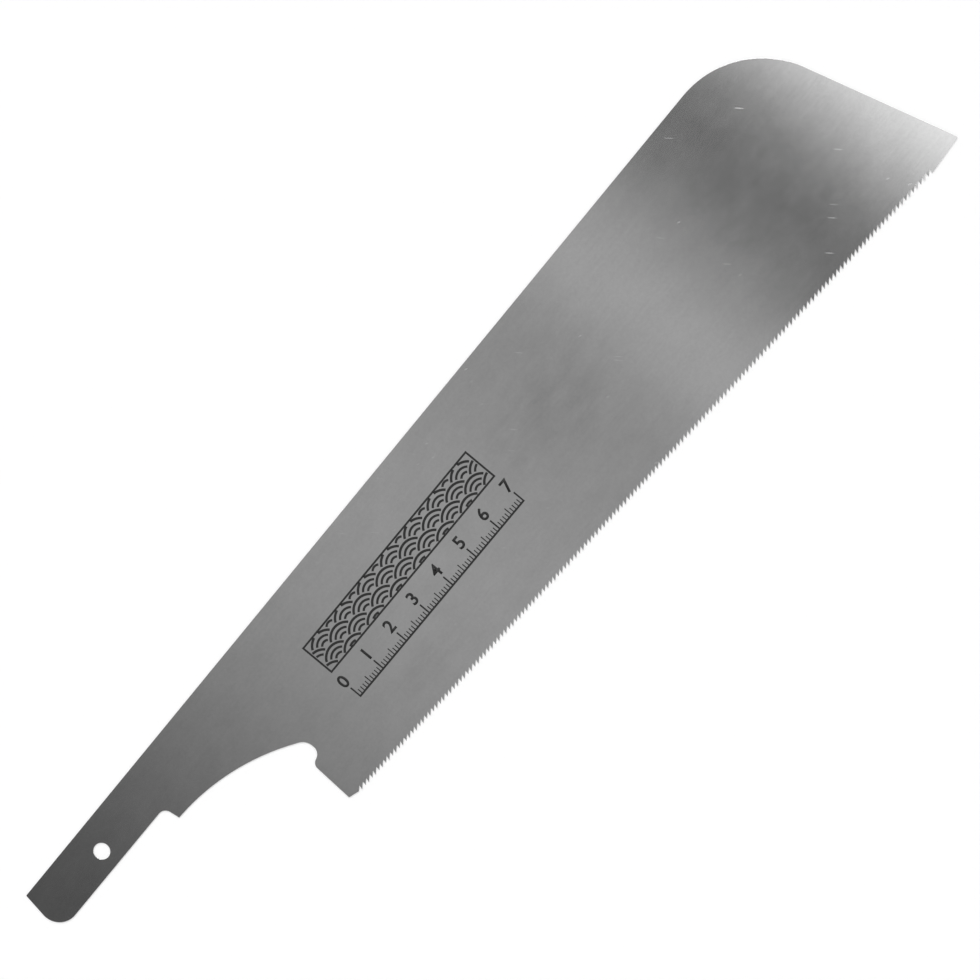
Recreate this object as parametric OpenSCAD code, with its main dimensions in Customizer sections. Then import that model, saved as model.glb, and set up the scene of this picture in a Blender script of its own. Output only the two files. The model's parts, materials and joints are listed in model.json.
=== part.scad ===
// Blade of a Japanese back saw, sold on its own to be changed without the
// handle and the stiffening back. It is one flat piece of spring steel: a
// blade that widens towards the toe, a heel with a hooked relief, and a
// narrow tang with one hole.
//
// Frame: the origin is on the axis of the tang hole, on the lower face. +X
// runs along the back edge towards the toe, +Y towards the back edge and +Z
// out of the upper face. Sizes are in millimetres and degrees.

/* [Sheet] */
// Thickness of the steel
sheet_t = 0.3; // [0.2:0.05:0.8]

/* [Blade] */
// Length of the cutting side, from the heel corner to the toe tip
cut_l = 240; // [150:1:330]
// Depth at the heel, from the back edge to the line of the tooth tips
heel_depth = 52.4; // [42:0.2:70]
// Angle at which the tooth line falls away from the back edge
edge_fall = 2.6; // [0:0.1:5]
// Angle between the back edge and the toe edge
toe_angle = 75; // [60:1:90]
// Radius of the corner between the back edge and the toe edge
toe_r = 26.4; // [4:0.2:36]
// How far the toe tip is ground back from the tooth line
toe_back = 1.4; // [0.5:0.1:4]
// How far the heel corner is ground back from the tooth line
heel_back = 1.1; // [0.5:0.1:3]

/* [Tang] */
// Width of the tang
tang_w = 14; // [11:0.5:17]
// Diameter of the tang hole
hole_d = 4.8; // [3:0.1:6]
// Distance from the centre of the tang hole to the back edge
hole_back = 8.4; // [6:0.1:9]
// Distance from the centre of the tang hole to the tail corner
tail_l = 24; // [15:1:50]
// Angle between the back edge and the tail edge
tail_angle = 81; // [70:1:90]
// Radius of the round corner of the tail
tail_r = 6.3; // [2:0.1:7]

/* [Heel relief] */
// Distance from the centre of the tang hole to the shoulder
shoulder_x = 21; // [17:0.5:26]
// Height of the shoulder
shoulder_h = 5; // [4:0.2:8]
// Lean of the shoulder away from square
shoulder_lean = 8.3; // [0:0.1:15]
// Radius at the foot of the shoulder
shoulder_r = 2.4; // [0.5:0.1:3]
// Distance from the centre of the tang hole to the heel corner
heel_x = 57; // [50:1:75]
// Height of the heel edge
heel_edge_h = 13.2; // [10:0.1:16]
// Lean of the heel edge away from square
heel_lean = 3; // [0:0.1:6]
// How far the pocket behind the heel reaches past the heel corner
pocket_reach = 4.6; // [4:0.1:7]
// Height of the pocket's inner side
pocket_h = 4.65; // [4:0.05:7]
// Rise of the pocket's floor towards its inner side
pocket_rise = 1.2; // [0.6:0.1:2]
// Radius at the top of the pocket, where the relief runs into it
pocket_top_r = 4.1; // [1:0.1:4.5]
// Radius at the floor of the pocket
pocket_floor_r = 2.9; // [1:0.1:3]
// Radius of the bump between the pocket and the heel edge
bump_r = 2; // [0.5:0.1:2.4]
// Length of the straight stretch that joins the relief's arc to the pocket
relief_lead = 4; // [3:0.1:8]

/* [Teeth] */
// Distance from one tooth tip to the next
tooth_pitch = 1.405; // [1:0.005:3]
// Depth of the gullets
tooth_h = 1.26; // [0.6:0.02:2.4]
// Angle at which each tooth's cutting face hooks towards the tang
tooth_rake = 14; // [0:1:20]
// Width of a tooth's flat tip
tip_w = 0.06; // [0.02:0.01:0.1]
// Width of the gullet's floor
gullet_w = 0.1; // [0.04:0.01:0.2]
// How far each tip is bent out of the sheet, to one side and the other in turn
tooth_set = 0.1; // [0:0.01:0.2]
// How far the bevel on a tooth's inner face reaches back from its tip
bevel_l = 0.5; // [0.1:0.05:0.8]
// Length without teeth at the heel
heel_land = 4.2; // [4:0.1:12]
// Length without teeth at the toe
toe_land = 10; // [2:0.5:20]

/* [Hidden] */

// Radius left on the corners that are ground to a point
sharp_r = 0.3;
// Depth at which the teeth are bent, as a share of the gullet's
bend_share = 0.9;
// Slope at which the relief leaves the shoulder
relief_start = 1;
// Where the heel's flat land ends, along the edge and back from the tooth line
land_end = [0.76 * heel_land, 0.3];
// Largest gap between an arc and the short chords that draw it
arc_error = 0.005;
// Largest share of a side that one rounded corner takes up
corner_share = 0.49;

back_y = hole_back;
tang_y = back_y - tang_w;
edge_start = [heel_x, back_y - heel_depth];
edge_dir = [cos(edge_fall), -sin(edge_fall)];
edge_inward = [sin(edge_fall), cos(edge_fall)];
face_run = tooth_h * tan(tooth_rake);
bend_v = bend_share * tooth_h;
// The teeth run on into the sheet, but not as far as their flanks would meet
root_v = tooth_h + gullet_w / 2;
tooth_count = floor((cut_l - heel_land - toe_land) / tooth_pitch);

// Point at distance u along the tooth line and v back from it
function on_edge(u, v) = edge_start + u * edge_dir + v * edge_inward;

// Corners of the outline before rounding, in order round the blade
tail_back = [-tail_l, back_y];
tail_foot = [-tail_l - tang_w / tan(tail_angle), tang_y];
shoulder_foot = [shoulder_x, tang_y];
shoulder_tip = shoulder_foot + shoulder_h * [tan(shoulder_lean), -1];
heel = on_edge(0, heel_back);
bump = heel + heel_edge_h * [tan(heel_lean), 1];
pocket_floor = [heel.x + pocket_reach, bump.y + pocket_rise];
pocket_top = pocket_floor + [0, pocket_h];
toe_tip = on_edge(cut_l, toe_back);
toe_corner = [toe_tip.x - (back_y - toe_tip.y) / tan(toe_angle), back_y];

// The relief leaves the shoulder along relief_dir and bends once, in an arc
// that starts at the shoulder and ends relief_lead before the pocket's corner
relief_dir = [cos(relief_start), -sin(relief_start)];
relief_span = pocket_top - shoulder_tip;
relief_side = (relief_span * relief_span - pow(relief_lead, 2))
    / (2 * (relief_span * relief_dir + relief_lead));
relief_bend = shoulder_tip + relief_side * relief_dir;

function unit(v) = v / norm(v);

// Half of the angle at corner b of the path a, b, c
function half_angle(a, b, c) = acos(unit(a - b) * unit(c - b)) / 2;

// Points of the arc of radius r that rounds corner b, from a's side to c's
function arc(a, b, c, r) =
    let (
        half = half_angle(a, b, c),
        side = corner_share * min(norm(a - b), norm(c - b)),
        true_r = min(r, side * tan(half)),
        centre = b + unit(unit(a - b) + unit(c - b)) * true_r / sin(half),
        first = b + unit(a - b) * true_r / tan(half) - centre,
        turn = sign(cross(b - a, c - b)) * (180 - 2 * half),
        steps = ceil(abs(turn) / (2 * acos(1 - arc_error / true_r)))
    )
    [for (i = [0 : steps])
        let (s = turn * i / steps)
        centre + [first.x * cos(s) - first.y * sin(s), first.x * sin(s) + first.y * cos(s)]];

// The relief's arc takes up its whole first side, so it is drawn on its own
function relief_arc() =
    let (
        half = half_angle(shoulder_tip, relief_bend, pocket_top),
        r = relief_side * tan(half),
        centre = shoulder_tip + r * [-sin(relief_start), -cos(relief_start)],
        turn = 180 - 2 * half,
        steps = ceil(turn / (2 * acos(1 - arc_error / r)))
    )
    [for (i = [1 : steps])
        let (s = 90 - relief_start - turn * i / steps)
        centre + r * [cos(s), sin(s)]];

// Where tooth i has its tip, along the tooth line
function tip_at(i) = heel_land + i * tooth_pitch;

// A tooth's cutting face and its back at depth v, as distances along the
// tooth line from its tip
function face_at(v) = face_run * v / tooth_h;
function back_at(v) = tip_w + (tooth_pitch + face_run - gullet_w - tip_w) * v / tooth_h;

// Plan of one tooth from its tip, from the root round the tip and back. The
// tip is ground back to depth tip_v, midway between the two flanks.
function tooth_plan(tip_v) =
    let (tip = (face_at(tip_v) + back_at(tip_v) - tip_w) / 2)
    [
        [face_at(root_v), root_v],
        [face_at(bend_v), bend_v],
        [tip, tip_v],
        [tip + tip_w, tip_v],
        [back_at(bend_v), bend_v],
        [back_at(root_v), root_v]
    ];

// Plan of tooth i in space, at height z in the flat sheet and bent to one side
function tooth_layer(i, side, z, tip_v) = [
    for (p = tooth_plan(tip_v))
        let (
            place = on_edge(tip_at(i) + p.x, p.y),
            bend = side * tooth_set * max(0, 1 - p.y / bend_v)
        )
        [place.x, place.y, z + bend]
];

// A tooth is bent at bend_v, so each of its faces has a flat root and a
// sloping blade. Its inner face is ground back, which leaves the point on the
// side that the tooth is bent to.
module tooth(i) {
    up = i % 2 == 0;
    side = up ? 1 : -1;
    lower = tooth_layer(i, side, 0, up ? bevel_l : 0);
    upper = tooth_layer(i, side, sheet_t, up ? 0 : bevel_l);
    n = len(lower);
    root = [0, 1, 4, 5];
    blade = [1, 2, 3, 4];
    polyhedron(
        points = [each lower, each upper],
        faces = [
            root,
            blade,
            [for (k = [len(root) - 1 : -1 : 0]) root[k] + n],
            [for (k = [len(blade) - 1 : -1 : 0]) blade[k] + n],
            for (k = [0 : n - 1])
                let (next = (k + 1) % n)
                each [[k, k + n, next + n], [k, next + n, next]]
        ]
    );
}

// The sheet ends at the floor of the gullets, where the teeth stand on it
module outline() {
    land = on_edge(land_end.x, land_end.y);
    first_gullet = on_edge(tip_at(0) + face_run - gullet_w, tooth_h);
    last_gullet = on_edge(tip_at(tooth_count) + face_run, tooth_h);
    toe_side = on_edge(tip_at(tooth_count), 0);
    polygon([
        each arc(toe_corner, tail_back, tail_foot, sharp_r),
        each arc(tail_back, tail_foot, shoulder_foot, tail_r),
        each arc(tail_foot, shoulder_foot, shoulder_tip, shoulder_r),
        shoulder_tip,
        each relief_arc(),
        each arc(relief_bend, pocket_top, pocket_floor, pocket_top_r),
        each arc(pocket_top, pocket_floor, bump, pocket_floor_r),
        each arc(pocket_floor, bump, heel, bump_r),
        each arc(bump, heel, land, sharp_r),
        land,
        first_gullet,
        last_gullet,
        toe_side,
        each arc(toe_side, toe_tip, toe_corner, sharp_r),
        each arc(toe_tip, toe_corner, tail_back, toe_r)
    ]);
}

module saw_blade() {
    color([0.55, 0.55, 0.56])
    difference() {
        union() {
            linear_extrude(sheet_t)
                outline();
            for (i = [0 : tooth_count - 1])
                tooth(i);
        }
        translate([0, 0, -sheet_t])
            cylinder(d = hole_d, h = 3 * sheet_t, $fn = 64);
    }
}

saw_blade();
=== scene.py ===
"""Looks of a back-saw blade: the steel sheet, the print on it and a plain studio.

Everything is in metres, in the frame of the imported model: +X runs along the
back edge towards the toe, +Y towards the back edge, +Z out of the printed face.
"""

import json
import math

import bmesh
import bpy
from mathutils import Matrix, Vector

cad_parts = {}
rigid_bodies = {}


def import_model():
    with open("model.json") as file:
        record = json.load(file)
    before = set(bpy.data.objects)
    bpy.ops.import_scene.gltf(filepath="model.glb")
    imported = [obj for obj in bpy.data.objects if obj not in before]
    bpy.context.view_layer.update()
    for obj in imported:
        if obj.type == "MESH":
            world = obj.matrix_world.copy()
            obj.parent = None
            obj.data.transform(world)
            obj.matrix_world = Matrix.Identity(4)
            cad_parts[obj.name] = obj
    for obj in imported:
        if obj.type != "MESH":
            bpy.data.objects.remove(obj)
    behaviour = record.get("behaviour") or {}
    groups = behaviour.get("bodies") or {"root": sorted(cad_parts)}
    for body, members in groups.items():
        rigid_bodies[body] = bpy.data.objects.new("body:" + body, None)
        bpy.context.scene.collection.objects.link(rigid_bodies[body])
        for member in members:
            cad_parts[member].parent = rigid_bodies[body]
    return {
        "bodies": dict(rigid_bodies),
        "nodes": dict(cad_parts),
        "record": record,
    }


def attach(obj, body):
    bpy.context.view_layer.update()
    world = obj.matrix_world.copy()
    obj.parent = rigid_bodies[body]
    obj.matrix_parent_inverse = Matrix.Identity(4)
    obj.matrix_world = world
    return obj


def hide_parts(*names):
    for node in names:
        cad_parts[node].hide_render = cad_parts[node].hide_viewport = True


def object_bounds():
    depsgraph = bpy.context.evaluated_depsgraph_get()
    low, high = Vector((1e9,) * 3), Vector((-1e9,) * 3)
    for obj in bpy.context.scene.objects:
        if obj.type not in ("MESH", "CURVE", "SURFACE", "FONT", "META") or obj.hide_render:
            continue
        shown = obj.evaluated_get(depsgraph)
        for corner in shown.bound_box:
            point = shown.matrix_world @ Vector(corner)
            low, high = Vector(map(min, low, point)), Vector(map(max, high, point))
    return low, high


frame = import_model()
cad_low, cad_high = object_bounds()

MM = 0.001
NODE = "saw_blade"
BODY = next(iter(frame["bodies"]))

# --- Camera: a long lens over the blade, tilted towards the toe ---------------
LENS_MM = 85
SENSOR_MM = 36
CAMERA_DISTANCE = 0.6213
CAMERA_TILT = math.radians(8.11)  # from straight above, towards the toe
CAMERA_ROLL = math.radians(50.6)  # how far the blade climbs to the right in the frame
CAMERA_SKEW = math.radians(0.35)  # between the tilt's direction and the back edge
# The aim, measured from the toe end and the back edge of the model's box
AIM_FROM_TOE = 149.4 * MM
AIM_FROM_BACK = 27.12 * MM

# --- Steel sheet ---------------------------------------------------------------
SHEET_T = 0.3 * MM
HOLE_SIDES = 96
EDGE_BREAK = 0.03 * MM  # the tiny chamfer left by deburring
TOOTHED_ZONE = 1.6 * MM  # depth of the strip along the teeth that stays sharp

# --- Print: a framed band of waves over a plain rule, in mm from the tang hole ----
INK_T = 0.008  # how far the ink stands proud of the steel
INK_SUNK = 0.005
PRINT_X = 81.0
PRINT_L = 70
FRAME_Y = -17.2  # the foot of the band's frame
FRAME_H = 10.0
FRAME_LINE = 0.55
WAVE_R = 5.0
ARC_STEPS = 45
ARC_MIN = 1.0  # shorter stretches of an arc are left out
WAVE_RINGS = ((4.6, 0.7), (3.2, 0.65), (1.8, 0.65))  # radius and width
RULE_Y = -27.2  # the top of the rule's base line
RULE_LINE = 0.55
MARK_WIDTH = 0.3
MARK_HEIGHTS = (3.2, 2.3, 1.4)  # at each 10, 5 and 1 mm
DIGIT_H = 3.7


# ---------------------------------------------------------------------------------
# Small helpers
# ---------------------------------------------------------------------------------
def link(name, mesh):
    """A new object for a mesh, in the scene."""
    made = bpy.data.objects.new(name, mesh)
    bpy.context.scene.collection.objects.link(made)
    return made


def mesh_from(name, bm):
    """A mesh from a bmesh, which is freed."""
    mesh = bpy.data.meshes.new(name)
    bm.to_mesh(mesh)
    bm.free()
    return mesh


def new_material(name):
    """A material with nothing in it but its Principled shader."""
    material = bpy.data.materials.new(name)
    material.use_nodes = True
    shader = material.node_tree.nodes["Principled BSDF"]
    return material, material.node_tree, shader


def add_node(tree, kind, **settings):
    """A node with its properties and sockets set by name."""
    node = tree.nodes.new(kind)
    for key, value in settings.items():
        if key in node.inputs:
            node.inputs[key].default_value = value
        else:
            setattr(node, key, value)
    return node


def math_node(tree, operation, first, second=None, third=None, clamp=False):
    """The output of a Math node whose inputs are sockets or numbers."""
    node = tree.nodes.new("ShaderNodeMath")
    node.operation = operation
    node.use_clamp = clamp
    for socket, value in zip(node.inputs, (first, second, third)):
        if value is None:
            continue
        if isinstance(value, (int, float)):
            socket.default_value = value
        else:
            tree.links.new(value, socket)
    return node.outputs[0]


def map_range(tree, value, low, high, to_low=0.0, to_high=1.0, smooth=False):
    """A value stretched from one range to another, and clamped to it."""
    node = tree.nodes.new("ShaderNodeMapRange")
    node.interpolation_type = "SMOOTHSTEP" if smooth else "LINEAR"
    tree.links.new(value, node.inputs["Value"])
    for key, number in (("From Min", low), ("From Max", high), ("To Min", to_low), ("To Max", to_high)):
        node.inputs[key].default_value = number
    return node.outputs["Result"]


def stretched(tree, place, cell, turn=0.0):
    """Coordinates in cells of a size along their own X and Y, which may be turned."""
    mapping = add_node(tree, "ShaderNodeMapping", vector_type="TEXTURE")
    mapping.inputs["Rotation"].default_value = (0, 0, turn)
    mapping.inputs["Scale"].default_value = (cell[0], cell[1], cell[1])
    tree.links.new(place, mapping.inputs["Vector"])
    return mapping.outputs["Vector"]


def noise(tree, place, cell, detail=2.0, roughness=0.5, turn=0.0):
    """Noise from 0 to 1 whose cells have their own length and width, in metres."""
    node = add_node(tree, "ShaderNodeTexNoise", Scale=1.0, Detail=detail, Roughness=roughness)
    tree.links.new(stretched(tree, place, cell, turn), node.inputs["Vector"])
    return node.outputs["Fac"]


# ---------------------------------------------------------------------------------
# The steel sheet
# ---------------------------------------------------------------------------------
def tang_hole():
    """Centre and radius of the tang hole, from the record."""
    mount = next(m for m in frame["record"]["mounts"] if m["name"] == "tang_hole")
    return Vector(mount["pos_m"]), mount["dims"]["r_mm"] * MM


def round_the_hole(sheet):
    """Cuts the tang hole again as a fine circle, just outside the coarse one."""
    centre, radius = tang_hole()
    bm = bmesh.new()
    outside = radius / math.cos(math.pi / HOLE_SIDES)
    bmesh.ops.create_cone(
        bm, cap_ends=True, segments=HOLE_SIDES, radius1=outside, radius2=outside, depth=10 * MM,
        matrix=Matrix.Translation(centre),
    )
    cutter = link("hole_cutter", mesh_from("hole_cutter", bm))
    cut = sheet.modifiers.new("hole", "BOOLEAN")
    cut.operation = "DIFFERENCE"
    cut.solver = "EXACT"
    cut.object = cutter
    graph = bpy.context.evaluated_depsgraph_get()
    fine = bpy.data.meshes.new_from_object(sheet.evaluated_get(graph))
    sheet.modifiers.clear()
    sheet.data = fine
    bpy.data.objects.remove(cutter)


def is_flat(face):
    """Whether a face lies in the plane of the sheet."""
    return abs(face.normal.z) > 0.9999


def is_wall(face):
    """Whether a face stands square to the sheet."""
    return abs(face.normal.z) < 0.0001


def tooth_line(bm):
    """Two points of the line that the tooth tips stand on, found from the lowest vertices."""
    bent = [v.co for v in bm.verts if v.co.z < cad_low.z + 1e-6 or v.co.z > cad_high.z - 1e-6]
    return min(bent, key=lambda p: p.x), max(bent, key=lambda p: p.x)


def break_edges(bm):
    """Chamfers the rim of the sheet and the hole, but leaves the toothed edge sharp."""
    first, last = tooth_line(bm)
    along = (last - first).to_2d().normalized()

    def in_teeth(point):
        offset = (point - first).to_2d()
        depth = abs(along.x * offset.y - along.y * offset.x)
        return depth < TOOTHED_ZONE and -3 * MM < offset.dot(along) < (last - first).length + 3 * MM

    rim = []
    for edge in bm.edges:
        faces = edge.link_faces
        if len(faces) != 2 or any(in_teeth(v.co) for v in edge.verts):
            continue
        if any(map(is_flat, faces)) and any(map(is_wall, faces)):
            rim.append(edge)
    bmesh.ops.bevel(bm, geom=rim, offset=EDGE_BREAK, segments=2, profile=0.5, affect="EDGES")


def make_sheet():
    """The blade as the CAD has it, with a fine hole and broken edges."""
    bm = bmesh.new()
    bm.from_mesh(frame["nodes"][NODE].data)
    bmesh.ops.remove_doubles(bm, verts=bm.verts, dist=1e-7)
    sheet = link("steel_sheet", mesh_from("steel_sheet", bm))
    round_the_hole(sheet)
    bm = bmesh.new()
    bm.from_mesh(sheet.data)
    bmesh.ops.remove_doubles(bm, verts=bm.verts, dist=1e-7)
    bmesh.ops.dissolve_limit(bm, angle_limit=math.radians(0.05), verts=bm.verts, edges=bm.edges)
    break_edges(bm)
    sheet.data = mesh_from("steel_sheet", bm)
    lay_uv(sheet.data)
    sheet.data.materials.append(steel_material())
    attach(sheet, BODY)
    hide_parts(NODE)
    return sheet


def centred(tree, value, depth):
    """Noise between 0 and 1, turned into a swing of plus or minus half the depth."""
    return math_node(tree, "MULTIPLY", math_node(tree, "SUBTRACT", value, 0.5), depth)


def nicks(tree, place, length, width, spacing, share, turn):
    """A mask of sparse short scratches: a few cells of a grid each hold one."""
    cells = add_node(tree, "ShaderNodeTexVoronoi", voronoi_dimensions="2D", Scale=1.0, Randomness=0.8)
    tree.links.new(stretched(tree, place, (spacing * length, spacing * width), turn), cells.inputs["Vector"])
    near = map_range(tree, cells.outputs["Distance"], 0.5 / spacing, 0.15 / spacing, smooth=True)
    parts = add_node(tree, "ShaderNodeSeparateColor")
    tree.links.new(cells.outputs["Color"], parts.inputs[0])
    chosen = math_node(tree, "LESS_THAN", parts.outputs["Red"], share)
    depth = map_range(tree, parts.outputs["Green"], 0.0, 1.0, 0.25, 1.0)
    return math_node(tree, "MULTIPLY", near, math_node(tree, "MULTIPLY", chosen, depth))


def patch(tree, place, centre, half):
    """A soft oval mask, with its centre and half sizes in mm."""
    mapping = add_node(tree, "ShaderNodeMapping", vector_type="TEXTURE")
    mapping.inputs["Location"].default_value = (centre[0] * MM, centre[1] * MM, 0)
    mapping.inputs["Scale"].default_value = (half[0] * MM, half[1] * MM, 1)
    tree.links.new(place, mapping.inputs["Vector"])
    reach = add_node(tree, "ShaderNodeVectorMath", operation="LENGTH")
    tree.links.new(mapping.outputs["Vector"], reach.inputs[0])
    return map_range(tree, reach.outputs["Value"], 1.0, 0.3, smooth=True)


def steel_material():
    """Ground spring steel: grain along the blade, soft clouds, smudges and a few bright nicks."""
    material, tree, shader = new_material("ground_steel")
    place = add_node(tree, "ShaderNodeTexCoord").outputs["Object"]
    grain = noise(tree, place, (18 * MM, 0.7 * MM), detail=1.5, roughness=0.5)
    streak = noise(tree, place, (12 * MM, 4.5 * MM), detail=5.0, roughness=0.55)
    cloud = noise(tree, place, (11 * MM, 8 * MM), detail=6.0, roughness=0.62)
    speckle = noise(tree, place, (0.8 * MM, 0.8 * MM), detail=2.0)
    scratch = math_node(
        tree, "MAXIMUM",
        nicks(tree, place, 3.4 * MM, 0.36 * MM, 2.6, 0.014, -0.95),
        nicks(tree, place, 1.5 * MM, 0.45 * MM, 3.0, 0.012, -0.45),
    )
    along = add_node(tree, "ShaderNodeSeparateXYZ")
    tree.links.new(place, along.inputs[0])
    handled = map_range(tree, along.outputs["X"], 60 * MM, 190 * MM)
    scratch = math_node(tree, "MULTIPLY", scratch, handled)
    smudges = math_node(
        tree, "MAXIMUM",
        patch(tree, place, (176, -17), (30, 15)),
        patch(tree, place, (101, -36), (16, 7)),
    )
    smudge = math_node(tree, "MULTIPLY", smudges, map_range(tree, streak, 0.3, 0.65, smooth=True))

    tone = math_node(tree, "ADD", centred(tree, grain, 0.03), 0.55)
    tone = math_node(tree, "ADD", centred(tree, cloud, 0.11), tone)
    tone = math_node(tree, "ADD", centred(tree, speckle, 0.06), tone)
    tone = math_node(tree, "MULTIPLY_ADD", smudge, -0.045, tone)
    tone = math_node(tree, "MULTIPLY_ADD", scratch, 0.16, tone)
    colour = add_node(tree, "ShaderNodeCombineColor")
    for channel in ("Red", "Green", "Blue"):
        tree.links.new(tone, colour.inputs[channel])
    tree.links.new(colour.outputs["Color"], shader.inputs["Base Color"])

    rough = math_node(tree, "ADD", centred(tree, cloud, 0.04), 0.155)
    rough = math_node(tree, "MULTIPLY_ADD", scratch, 0.2, rough)
    tree.links.new(rough, shader.inputs["Roughness"])
    bump = add_node(tree, "ShaderNodeBump", Strength=0.5, Distance=0.000004)
    tree.links.new(math_node(tree, "SUBTRACT", grain, scratch), bump.inputs["Height"])
    tree.links.new(bump.outputs["Normal"], shader.inputs["Normal"])
    across = add_node(tree, "ShaderNodeTangent", direction_type="UV_MAP")
    across.uv_map = "across_the_grain"
    tree.links.new(across.outputs["Tangent"], shader.inputs["Tangent"])
    shader.inputs["Anisotropic"].default_value = 0.88
    shader.inputs["Metallic"].default_value = 1.0
    return material


def lay_uv(mesh):
    """A flat UV map whose U runs across the grain, for the steel's stretched gloss."""
    layer = mesh.uv_layers.new(name="across_the_grain")
    for loop in mesh.loops:
        point = mesh.vertices[loop.vertex_index].co
        layer.data[loop.index].uv = (point.y / 0.1, -point.x / 0.1)


# ---------------------------------------------------------------------------------
# The print
# ---------------------------------------------------------------------------------
def ink_point(bm, x, y):
    """A vertex of the print from its place in mm."""
    return bm.verts.new((x * MM, y * MM, 0))


def last_shown(angle, hidden, seen):
    """Where an arc stops being seen, between a seen angle and a hidden one."""
    for _ in range(12):
        middle = (angle + hidden) / 2
        if seen(middle):
            angle = middle
        else:
            hidden = middle
    return angle


def add_ring(bm, centre, radius, width, shown):
    """The upper half of a ring of ink, only where shown(x, y) holds along its middle."""
    def seen(angle):
        return shown(centre[0] + radius * math.cos(angle), centre[1] + radius * math.sin(angle))

    step = math.pi / ARC_STEPS
    run = []
    for i in range(ARC_STEPS + 1):
        angle = i * step
        if seen(angle):
            if not run and i > 0:
                run.append(last_shown(angle, angle - step, seen))
            run.append(angle)
        elif run:
            run.append(last_shown(run[-1], angle, seen))
        if run and (i == ARC_STEPS or not seen(angle)):
            if (run[-1] - run[0]) * radius > ARC_MIN:
                add_arc(bm, centre, radius, width, run)
            run = []


def add_arc(bm, centre, radius, width, angles):
    """One bent strip of ink along the angles given."""
    rows = []
    for angle in angles:
        turn = (math.cos(angle), math.sin(angle))
        rows.append([
            ink_point(bm, centre[0] + r * turn[0], centre[1] + r * turn[1])
            for r in (radius - width / 2, radius + width / 2)
        ])
    for (a, b), (c, d) in zip(rows, rows[1:]):
        bm.faces.new((a, b, d, c))


def row_shift(row):
    """How far a row of waves is moved along the band: every other row by half a wave."""
    return WAVE_R * (row % 2)


def nearest_centre(x, row):
    """The middle of the wave of a row that is nearest to x."""
    start = PRINT_X + WAVE_R - row_shift(row)
    return start + 2 * WAVE_R * round((x - start) / (2 * WAVE_R))


def waves(bm):
    """Rows of nested arcs inside a frame, each row half hidden by the next one down."""
    inset = FRAME_LINE / 2 + 0.2
    left, right = PRINT_X + inset, PRINT_X + PRINT_L - inset
    low, high = FRAME_Y + inset, FRAME_Y + FRAME_H - inset
    for row in range(-1, math.ceil(2 * FRAME_H / WAVE_R)):
        foot = FRAME_Y + row * WAVE_R / 2

        def shown(x, y):
            if not (left < x < right and low < y < high):
                return False
            fronts = [(nearest_centre(x, down), FRAME_Y + down * WAVE_R / 2) for down in (row - 1, row - 2)]
            return all(math.hypot(x - cx, y - cy) > WAVE_R + 0.35 for cx, cy in fronts)

        for column in range(PRINT_L // int(2 * WAVE_R) + 1):
            centre = (PRINT_X + WAVE_R * (2 * column + 1) - row_shift(row), foot)
            for radius, width in WAVE_RINGS:
                add_ring(bm, centre, radius, width, shown)


def frame_lines(bm):
    """The band's frame: two rectangles joined at their corners."""
    half = FRAME_LINE / 2
    loops = []
    for grow in (half, -half):
        left, right = PRINT_X - grow, PRINT_X + PRINT_L + grow
        low, high = FRAME_Y - grow, FRAME_Y + FRAME_H + grow
        loops.append([ink_point(bm, x, y) for x, y in ((left, low), (right, low), (right, high), (left, high))])
    outer, inner = loops
    for i in range(4):
        j = (i + 1) % 4
        bm.faces.new((outer[i], outer[j], inner[j], inner[i]))


def rule(bm):
    """A base line with a mark at each millimetre, as one comb-shaped face."""
    points = [(PRINT_X + PRINT_L + 0.75 * MARK_WIDTH, RULE_Y - RULE_LINE)]
    for i in range(PRINT_L, -1, -1):
        grade = 0 if i % 10 == 0 else 1 if i % 5 == 0 else 2
        half = (0.5 if grade else 0.75) * MARK_WIDTH
        right, left = PRINT_X + i + half, PRINT_X + i - half
        top = RULE_Y + MARK_HEIGHTS[grade]
        corners = [(right, RULE_Y), (right, top), (left, top), (left, RULE_Y)]
        if i == PRINT_L:
            corners = corners[1:]
        if i == 0:
            corners = corners[:-1]
        points += corners
    points.append((PRINT_X - 0.75 * MARK_WIDTH, RULE_Y - RULE_LINE))
    bm.faces.new([ink_point(bm, x, y) for x, y in points])


def digits():
    """The rule's numbers, one at each centimetre, as a flat mesh."""
    bm = bmesh.new()
    for i in range(PRINT_L // 10 + 1):
        curve = bpy.data.curves.new("digit", "FONT")
        curve.body = str(i)
        curve.align_x = "CENTER"
        curve.size = DIGIT_H / 0.72 * MM
        curve.offset = 0.03 * DIGIT_H * MM
        curve.resolution_u = 5
        maker = link("digit", curve)
        graph = bpy.context.evaluated_depsgraph_get()
        flat = bpy.data.meshes.new_from_object(maker.evaluated_get(graph))
        foot = RULE_Y + MARK_HEIGHTS[0] + 0.9
        flat.transform(Matrix.Translation(((PRINT_X + 10 * i) * MM, foot * MM, 0)))
        bm.from_mesh(flat)
        bpy.data.objects.remove(maker)
    return bm


def make_print():
    """The ink on the upper face: waves, a rule and its numbers, each a thin solid."""
    bm = digits()
    bmesh.ops.remove_doubles(bm, verts=bm.verts, dist=2e-6)
    bmesh.ops.dissolve_degenerate(bm, edges=bm.edges, dist=2e-6)
    rule(bm)
    frame_lines(bm)
    waves(bm)
    made = bmesh.ops.extrude_face_region(bm, geom=bm.faces[:])
    top = {v for v in made["geom"] if isinstance(v, bmesh.types.BMVert)}
    for v in bm.verts:
        v.co.z = SHEET_T + (INK_T if v in top else -INK_SUNK) * MM
    bmesh.ops.recalc_face_normals(bm, faces=bm.faces)
    ink = link("rule_print", mesh_from("rule_print", bm))
    ink.data.materials.append(ink_material())
    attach(ink, BODY)


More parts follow.
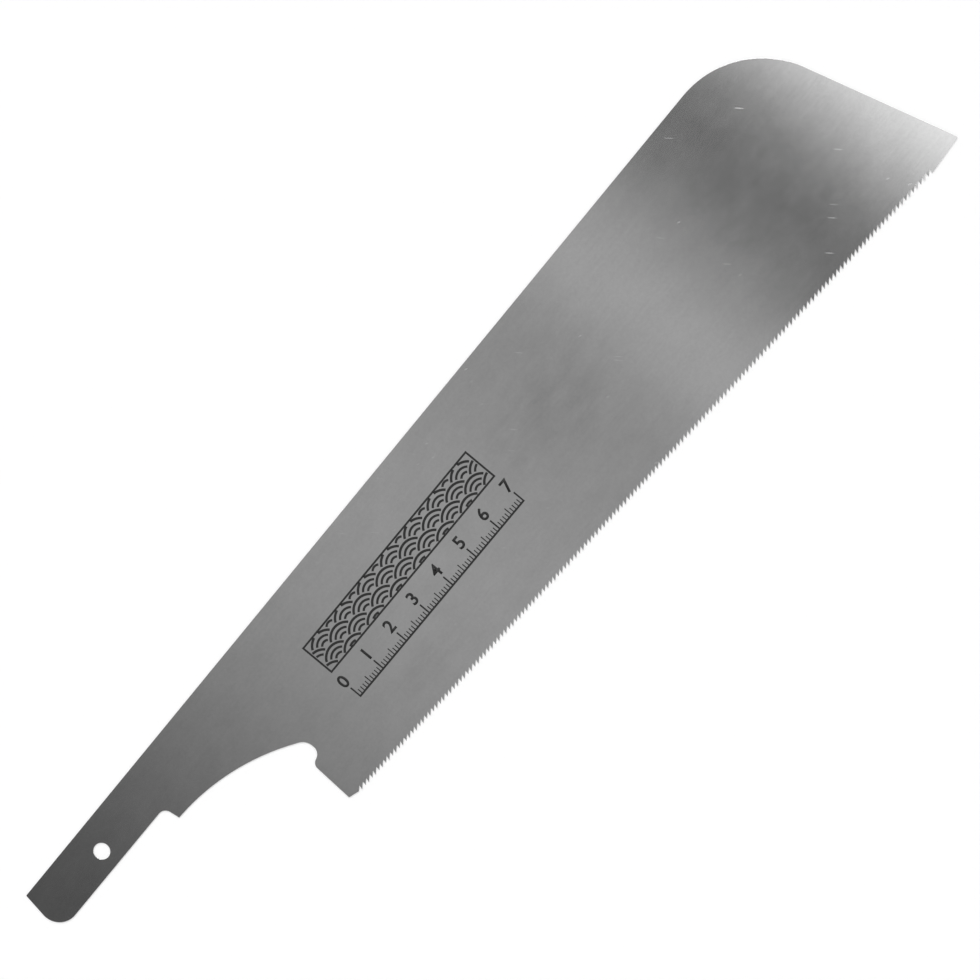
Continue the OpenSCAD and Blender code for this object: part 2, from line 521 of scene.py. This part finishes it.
def ink_material():
    """Matt black ink, a little worn and uneven."""
    material, tree, shader = new_material("black_ink")
    place = add_node(tree, "ShaderNodeTexCoord").outputs["Object"]
    blotch = noise(tree, place, (3 * MM, 3 * MM), detail=4.0)
    worn = map_range(tree, noise(tree, place, (0.5 * MM, 0.5 * MM), detail=3.0), 0.68, 0.80)
    tone = math_node(tree, "ADD", centred(tree, blotch, 0.012), 0.018)
    tone = math_node(tree, "MULTIPLY_ADD", worn, 0.12, tone)
    colour = add_node(tree, "ShaderNodeCombineColor")
    for channel in ("Red", "Green", "Blue"):
        tree.links.new(tone, colour.inputs[channel])
    tree.links.new(colour.outputs["Color"], shader.inputs["Base Color"])
    rough = math_node(tree, "ADD", centred(tree, blotch, 0.1), 0.55)
    tree.links.new(rough, shader.inputs["Roughness"])
    shader.inputs["Specular IOR Level"].default_value = 0.3
    return material


# ---------------------------------------------------------------------------------
# Studio: floor, world, lamp and camera
# ---------------------------------------------------------------------------------
FLOOR_SIDE = 12.0
FLOOR_GREY = 0.8
FLOOR_GAP = 1.5 * MM  # how far the underside's gloss looks through the floor
FLOOR_GLOW = 0.24  # only for the camera and reflections: brings the open floor up to white
# Level of the ceiling over the blade, read along it: each pair is the slope of the
# ray, its X over its Z, and the light that comes from there.
CEILING = (
    (-0.46, 0.11), (-0.37, 0.17), (-0.28, 0.38), (-0.19, 0.52), (-0.12, 0.47), (-0.065, 0.44),
    (-0.045, 0.71), (-0.02, 0.55), (0.0, 0.40), (0.02, 0.19), (0.045, 0.17), (0.065, 0.40),
    (0.085, 1.05), (0.105, 1.75), (0.135, 1.75), (0.17, 0.9), (0.24, 0.55), (0.34, 0.45),
)
WALL_LOW = 0.42  # at the horizon
WALL_HIGH = 0.75  # where the walls meet the ceiling
CEILING_FROM = 0.86  # the ray's Z where the ceiling is whole
WALLS_TO = 0.70  # and where the walls end
KEY_STRENGTH = 1.5
KEY_HEIGHT = math.radians(50)
KEY_SPREAD = math.radians(30)


def make_floor():
    """A plain pale floor under the blade, clear from below and to the underside's gloss."""
    bm = bmesh.new()
    bmesh.ops.create_grid(bm, x_segments=1, y_segments=1, size=FLOOR_SIDE / 2)
    floor = link("floor", mesh_from("floor", bm))
    floor.location.z = cad_low.z
    material, tree, shader = new_material("pale_floor")
    shader.inputs["Base Color"].default_value = (FLOOR_GREY, FLOOR_GREY, FLOOR_GREY, 1)
    shader.inputs["Roughness"].default_value = 0.9
    shader.inputs["Specular IOR Level"].default_value = 0.0
    rays = add_node(tree, "ShaderNodeLightPath").outputs
    seen = math_node(tree, "MAXIMUM", rays["Is Camera Ray"], rays["Is Glossy Ray"])
    glow = add_node(tree, "ShaderNodeEmission")
    tree.links.new(math_node(tree, "MULTIPLY", seen, FLOOR_GLOW), glow.inputs["Strength"])
    both = add_node(tree, "ShaderNodeAddShader")
    tree.links.new(shader.outputs[0], both.inputs[0])
    tree.links.new(glow.outputs[0], both.inputs[1])
    from_below = add_node(tree, "ShaderNodeNewGeometry").outputs["Backfacing"]
    near = math_node(tree, "LESS_THAN", rays["Ray Length"], FLOOR_GAP)
    under_blade = math_node(tree, "MULTIPLY", rays["Is Glossy Ray"], near)
    clear = add_node(tree, "ShaderNodeBsdfTransparent")
    mix = add_node(tree, "ShaderNodeMixShader")
    tree.links.new(math_node(tree, "MAXIMUM", from_below, under_blade), mix.inputs["Fac"])
    tree.links.new(both.outputs[0], mix.inputs[1])
    tree.links.new(clear.outputs[0], mix.inputs[2])
    tree.links.new(mix.outputs[0], tree.nodes["Material Output"].inputs["Surface"])
    floor.data.materials.append(material)


def make_world():
    """Soft walls all round, and over them a ceiling whose light changes along the blade."""
    world = bpy.data.worlds.new("studio")
    world.use_nodes = True
    bpy.context.scene.world = world
    tree = world.node_tree
    ray = add_node(tree, "ShaderNodeTexCoord").outputs["Generated"]
    part = add_node(tree, "ShaderNodeSeparateXYZ")
    tree.links.new(ray, part.inputs[0])
    height = math_node(tree, "ABSOLUTE", part.outputs["Z"])
    slope = math_node(tree, "DIVIDE", part.outputs["X"], math_node(tree, "MAXIMUM", height, 0.05))
    low, high = CEILING[0][0], CEILING[-1][0]
    ramp = add_node(tree, "ShaderNodeValToRGB")
    ramp.color_ramp.interpolation = "CARDINAL"
    stops = ramp.color_ramp.elements
    while len(stops) < len(CEILING):
        stops.new(0.5)
    brightest = max(level for _, level in CEILING)
    for stop, (place, level) in zip(stops, CEILING):
        stop.position = (place - low) / (high - low)
        stop.color = (level / brightest,) * 3 + (1,)
    tree.links.new(map_range(tree, slope, low, high), ramp.inputs["Fac"])
    ceiling = math_node(tree, "MULTIPLY", ramp.outputs["Color"], brightest)
    walls = map_range(tree, height, 0.0, WALLS_TO, WALL_LOW, WALL_HIGH)
    level = add_node(tree, "ShaderNodeMix", data_type="FLOAT")
    tree.links.new(map_range(tree, height, CEILING_FROM, WALLS_TO, smooth=True), level.inputs["Factor"])
    tree.links.new(ceiling, level.inputs["A"])
    tree.links.new(walls, level.inputs["B"])
    camera_ray = add_node(tree, "ShaderNodeLightPath").outputs["Is Camera Ray"]
    strength = math_node(tree, "MAXIMUM", level.outputs["Result"], camera_ray)
    tree.links.new(strength, tree.nodes["Background"].inputs["Strength"])
    tree.nodes["Background"].inputs["Color"].default_value = (1, 1, 1, 1)


def picture_axes():
    """The picture's right, its up and the way back to the camera, as directions."""
    toward_toe = Vector((math.cos(CAMERA_SKEW), math.sin(CAMERA_SKEW), 0))
    toward_back = Vector((-math.sin(CAMERA_SKEW), math.cos(CAMERA_SKEW), 0))
    back = math.sin(CAMERA_TILT) * toward_toe + math.cos(CAMERA_TILT) * Vector((0, 0, 1))
    along = toward_back.cross(back)
    up = math.sin(CAMERA_ROLL) * along + math.cos(CAMERA_ROLL) * toward_back
    return up.cross(back), up, back


def make_key():
    """One soft lamp, high on the side that is the picture's top."""
    data = bpy.data.lights.new("soft_key", "SUN")
    data.energy = KEY_STRENGTH
    data.angle = KEY_SPREAD
    lamp = bpy.data.objects.new("soft_key", data)
    bpy.context.scene.collection.objects.link(lamp)
    side = picture_axes()[1].copy()
    side.z = 0
    toward_lamp = math.cos(KEY_HEIGHT) * side.normalized() + math.sin(KEY_HEIGHT) * Vector((0, 0, 1))
    lamp.rotation_euler = toward_lamp.to_track_quat("Z", "Y").to_euler()


def make_camera():
    """The camera over the blade, turned so that the blade climbs to the right."""
    data = bpy.data.cameras.new("camera")
    data.lens = LENS_MM
    data.sensor_width = SENSOR_MM
    data.clip_start = 0.01
    data.clip_end = 50
    camera = bpy.data.objects.new("camera", data)
    bpy.context.scene.collection.objects.link(camera)
    aim = Vector((cad_high.x - AIM_FROM_TOE, cad_high.y - AIM_FROM_BACK, 0))
    right, up, back = picture_axes()
    turn = Matrix((right, up, back)).transposed()
    camera.matrix_world = Matrix.Translation(aim + CAMERA_DISTANCE * back) @ turn.to_4x4()
    bpy.context.scene.camera = camera


make_camera()
make_floor()
make_world()
make_key()
make_sheet()
make_print()
bpy.context.scene.view_settings.view_transform = "Standard"
